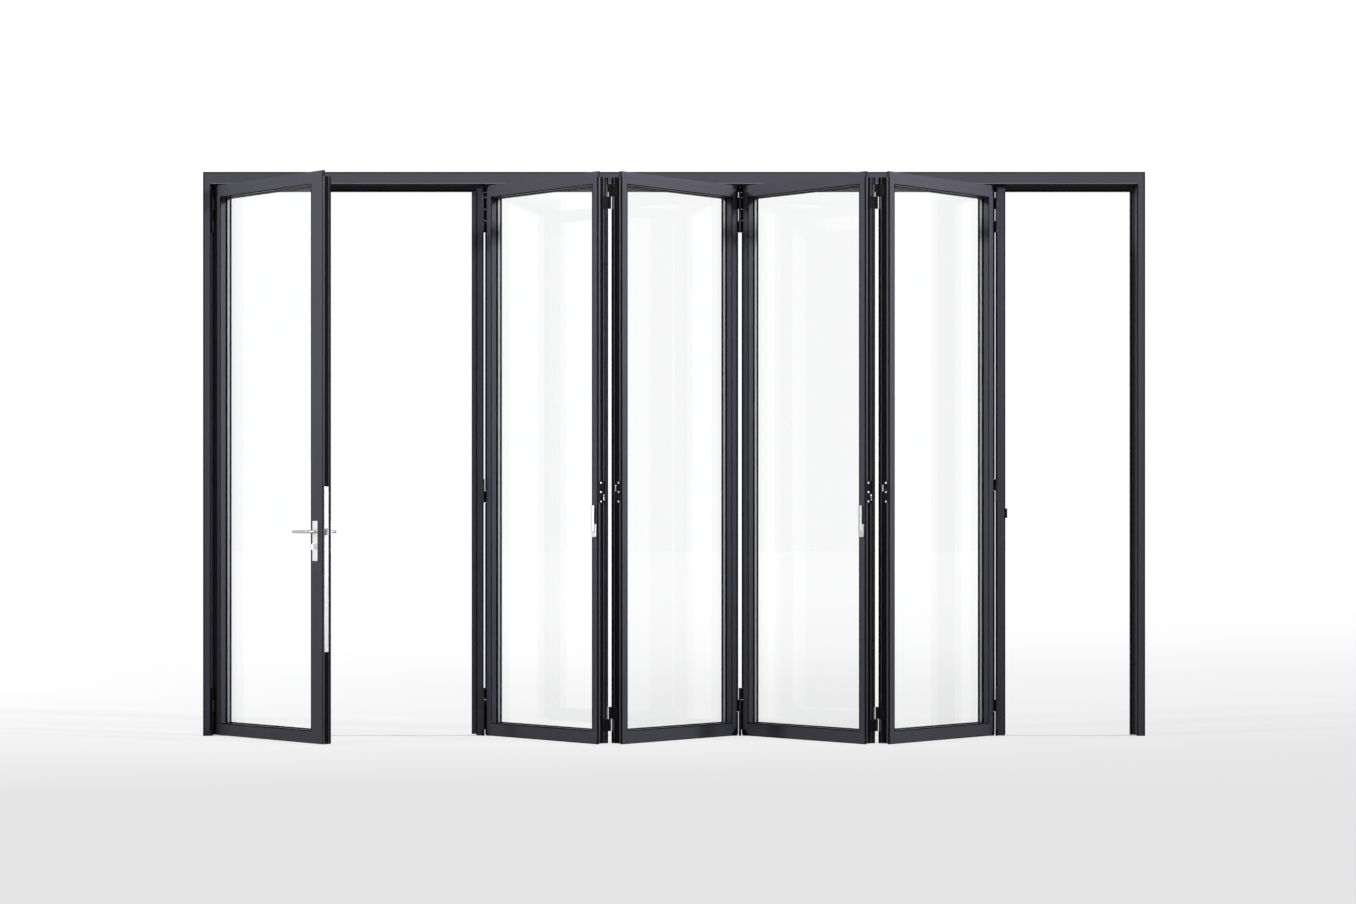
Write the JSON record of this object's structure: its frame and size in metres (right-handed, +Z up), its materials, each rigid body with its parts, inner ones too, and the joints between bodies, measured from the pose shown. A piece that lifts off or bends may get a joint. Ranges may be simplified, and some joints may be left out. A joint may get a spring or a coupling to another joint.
{
  "type": "folding glass wall",
  "caption": "Outward-folding glass wall in anthracite aluminium: side-hung access door and top-hung folding leaves between travelling posts, in a frame with flush floor channel.",
  "frame": {"origin": "middle of the sill's underside, half way through the frame's depth", "axes": "+X to the viewer's right along the head, +Y from the viewer through the wall, +Z up"},
  "size_m": [4.71, 0.8125, 2.85],
  "materials": {
    "anthracite": "fine matt powder coat",
    "hinge": "matt powder coat",
    "seal": "matt rubber",
    "glass": "clear",
    "satin": "satin stainless",
    "steel": "zinc plated",
    "plastic": "matt moulding"
  },
  "bodies": {
    "frame": {"head_profile": "anthracite", "track_rails": "steel", "jamb_left": "anthracite", "jamb_right": "anthracite", "floor_channel": "steel", "frame_gaskets": "seal", "jamb_hinge_leaves": "hinge", "bolt_keeps": "steel"},
    "door": {"door_hinge_stile": "anthracite", "door_lock_stile": "anthracite", "door_rails": "anthracite", "door_glass": "glass", "door_gaskets": "seal", "door_hinge_leaves": "hinge", "lock_case": "steel", "lock_faceplate": "satin", "lock_cylinder": "steel", "escutcheons": "satin"},
    "lever": {"lever_front": "satin", "lever_back": "satin"},
    "latch_bolt": {"latch_bolt": "steel"},
    "dead_bolt": {"dead_bolt": "steel"},
    "thumb_turn": {"thumb_turn": "satin"},
    "carriage_middle": {"hanger_middle": "steel", "guide_middle": "steel"},
    "wheels_middle": {"wheels_middle": "plastic"},
    "post_left": {"post_left": "anthracite", "strike_plate": "satin", "hanger_left": "steel", "guide_left": "steel"},
    "wheels_left": {"wheels_left": "plastic"},
    "post_right": {"post_right": "anthracite", "hanger_right": "steel", "guide_right": "steel"},
    "wheels_right": {"wheels_right": "plastic"},
    "post_latch": {"post_latch": "plastic"},
    "leaf_1": {"leaf_1_frame": "anthracite", "leaf_1_glass": "glass", "leaf_1_gaskets": "seal", "leaf_1_fittings": "hinge", "bolt_gear_1": "satin"},
    "leaf_2": {"leaf_2_frame": "anthracite", "leaf_2_glass": "glass", "leaf_2_gaskets": "seal", "leaf_2_fittings": "hinge"},
    "leaf_3": {"leaf_3_frame": "anthracite", "leaf_3_glass": "glass", "leaf_3_gaskets": "seal", "leaf_3_fittings": "hinge", "bolt_gear_3": "satin"},
    "leaf_4": {"leaf_4_frame": "anthracite", "leaf_4_glass": "glass", "leaf_4_gaskets": "seal", "leaf_4_fittings": "hinge"},
    "bolt_handle_1": {"bolt_handle_1": "satin"},
    "bolt_top_1": {"bolt_top_1": "steel"},
    "bolt_bottom_1": {"bolt_bottom_1": "steel"},
    "bolt_handle_3": {"bolt_handle_3": "satin"},
    "bolt_top_3": {"bolt_top_3": "steel"},
    "bolt_bottom_3": {"bolt_bottom_3": "steel"}
  },
  "joints": [
    {"name": "door_swing", "type": "hinge", "parent": "frame", "child": "door", "pos_m": [-2.312, -0.031, 1.4], "axis": [0, 0, 1], "range_deg": [-70, 50]},
    {"name": "lever_turn", "type": "hinge", "parent": "door", "child": "lever", "pos_m": [-1.72071, -0.71233, 1.052], "axis": [-0.766, -0.6428, 0], "range_deg": [0, 45], "stiffness_Nm_per_rad": 3, "springref_deg": -17.19},
    {"name": "latch_slide", "type": "slide", "parent": "door", "child": "latch_bolt", "axis": [-0.6428, 0.766, 0], "range_m": [0, 0.01]},
    {"name": "thumb_turn_turn", "type": "hinge", "parent": "door", "child": "thumb_turn", "pos_m": [-1.72071, -0.71233, 0.98], "axis": [-0.766, -0.6428, 0], "range_deg": [0, 90]},
    {"name": "dead_bolt_slide", "type": "slide", "parent": "door", "child": "dead_bolt", "axis": [0.6428, -0.766, 0], "range_m": [0, 0.02]},
    {"name": "track_slide", "type": "slide", "parent": "frame", "child": "carriage_middle", "axis": [1, 0, 0], "range_m": [-0.7, 0.6]},
    {"name": "wheels_middle_roll", "type": "hinge", "parent": "carriage_middle", "child": "wheels_middle", "pos_m": [0.33, -0.031, 2.8122], "axis": [0, 1, 0], "continuous": true},
    {"name": "fold_left", "type": "hinge", "parent": "carriage_middle", "child": "leaf_2", "pos_m": [0.33, -0.031, 1.4], "axis": [0, 0, 1], "range_deg": [-50, 38]},
    {"name": "peak_left", "type": "hinge", "parent": "leaf_2", "child": "leaf_1", "pos_m": [-0.31258, -0.66145, 1.4], "axis": [0, 0, -1], "range_deg": [-100, 76]},
    {"name": "post_left_hinge", "type": "hinge", "parent": "leaf_1", "child": "post_left", "pos_m": [-0.95517, -0.031, 1.4], "axis": [0, 0, 1], "range_deg": [-50, 38]},
    {"name": "wheels_left_roll", "type": "hinge", "parent": "post_left", "child": "wheels_left", "pos_m": [-0.95517, -0.031, 2.8122], "axis": [0, 1, 0], "continuous": true},
    {"name": "fold_right", "type": "hinge", "parent": "carriage_middle", "child": "leaf_3", "pos_m": [0.33, -0.031, 1.4], "axis": [0, 0, -1], "range_deg": [-50, 38]},
    {"name": "peak_right", "type": "hinge", "parent": "leaf_3", "child": "leaf_4", "pos_m": [0.97258, -0.66145, 1.4], "axis": [0, 0, 1], "range_deg": [-100, 76]},
    {"name": "post_right_hinge", "type": "hinge", "parent": "leaf_4", "child": "post_right", "pos_m": [1.61517, -0.031, 1.4], "axis": [0, 0, -1], "range_deg": [-50, 38]},
    {"name": "wheels_right_roll", "type": "hinge", "parent": "post_right", "child": "wheels_right", "pos_m": [1.61517, -0.031, 2.8122], "axis": [0, 1, 0], "continuous": true},
    {"name": "post_latch_slide", "type": "slide", "parent": "post_right", "child": "post_latch", "axis": [-1, 0, 0], "range_m": [0, 0.012], "stiffness_N_per_m": 300, "springref_m": -0.01},
    {"name": "bolt_handle_1_turn", "type": "hinge", "parent": "leaf_1", "child": "bolt_handle_1", "pos_m": [-0.38574, -0.68629, 1.058], "axis": [-0.766, -0.6428, 0], "range_deg": [0, 180]},
    {"name": "bolt_top_1_slide", "type": "slide", "parent": "leaf_1", "child": "bolt_top_1", "axis": [0, 0, 1], "range_m": [0, 0.02]},
    {"name": "bolt_bottom_1_slide", "type": "slide", "parent": "leaf_1", "child": "bolt_bottom_1", "axis": [0, 0, -1], "range_m": [0, 0.02]},
    {"name": "bolt_handle_3_turn", "type": "hinge", "parent": "leaf_3", "child": "bolt_handle_3", "pos_m": [0.89943, -0.68629, 1.058], "axis": [-0.766, -0.6428, 0], "range_deg": [0, 180]},
    {"name": "bolt_top_3_slide", "type": "slide", "parent": "leaf_3", "child": "bolt_top_3", "axis": [0, 0, 1], "range_m": [0, 0.02]},
    {"name": "bolt_bottom_3_slide", "type": "slide", "parent": "leaf_3", "child": "bolt_bottom_3", "axis": [0, 0, -1], "range_m": [0, 0.02]}
  ],
  "couplings": [
    {"joint": "latch_slide", "follows": "lever_turn", "m_per_rad": 0.0127},
    {"joint": "thumb_turn_turn", "follows": "dead_bolt_slide", "rad_per_m": 78.54},
    {"joint": "peak_left", "follows": "fold_left", "ratio": 2},
    {"joint": "post_left_hinge", "follows": "fold_left", "ratio": 1},
    {"joint": "peak_right", "follows": "fold_right", "ratio": 2},
    {"joint": "post_right_hinge", "follows": "fold_right", "ratio": 1},
    {"joint": "bolt_top_1_slide", "follows": "bolt_handle_1_turn", "m_per_rad": 0.00636},
    {"joint": "bolt_bottom_1_slide", "follows": "bolt_handle_1_turn", "m_per_rad": 0.00636},
    {"joint": "bolt_top_3_slide", "follows": "bolt_handle_3_turn", "m_per_rad": 0.00636},
    {"joint": "bolt_bottom_3_slide", "follows": "bolt_handle_3_turn", "m_per_rad": 0.00636}
  ]
}
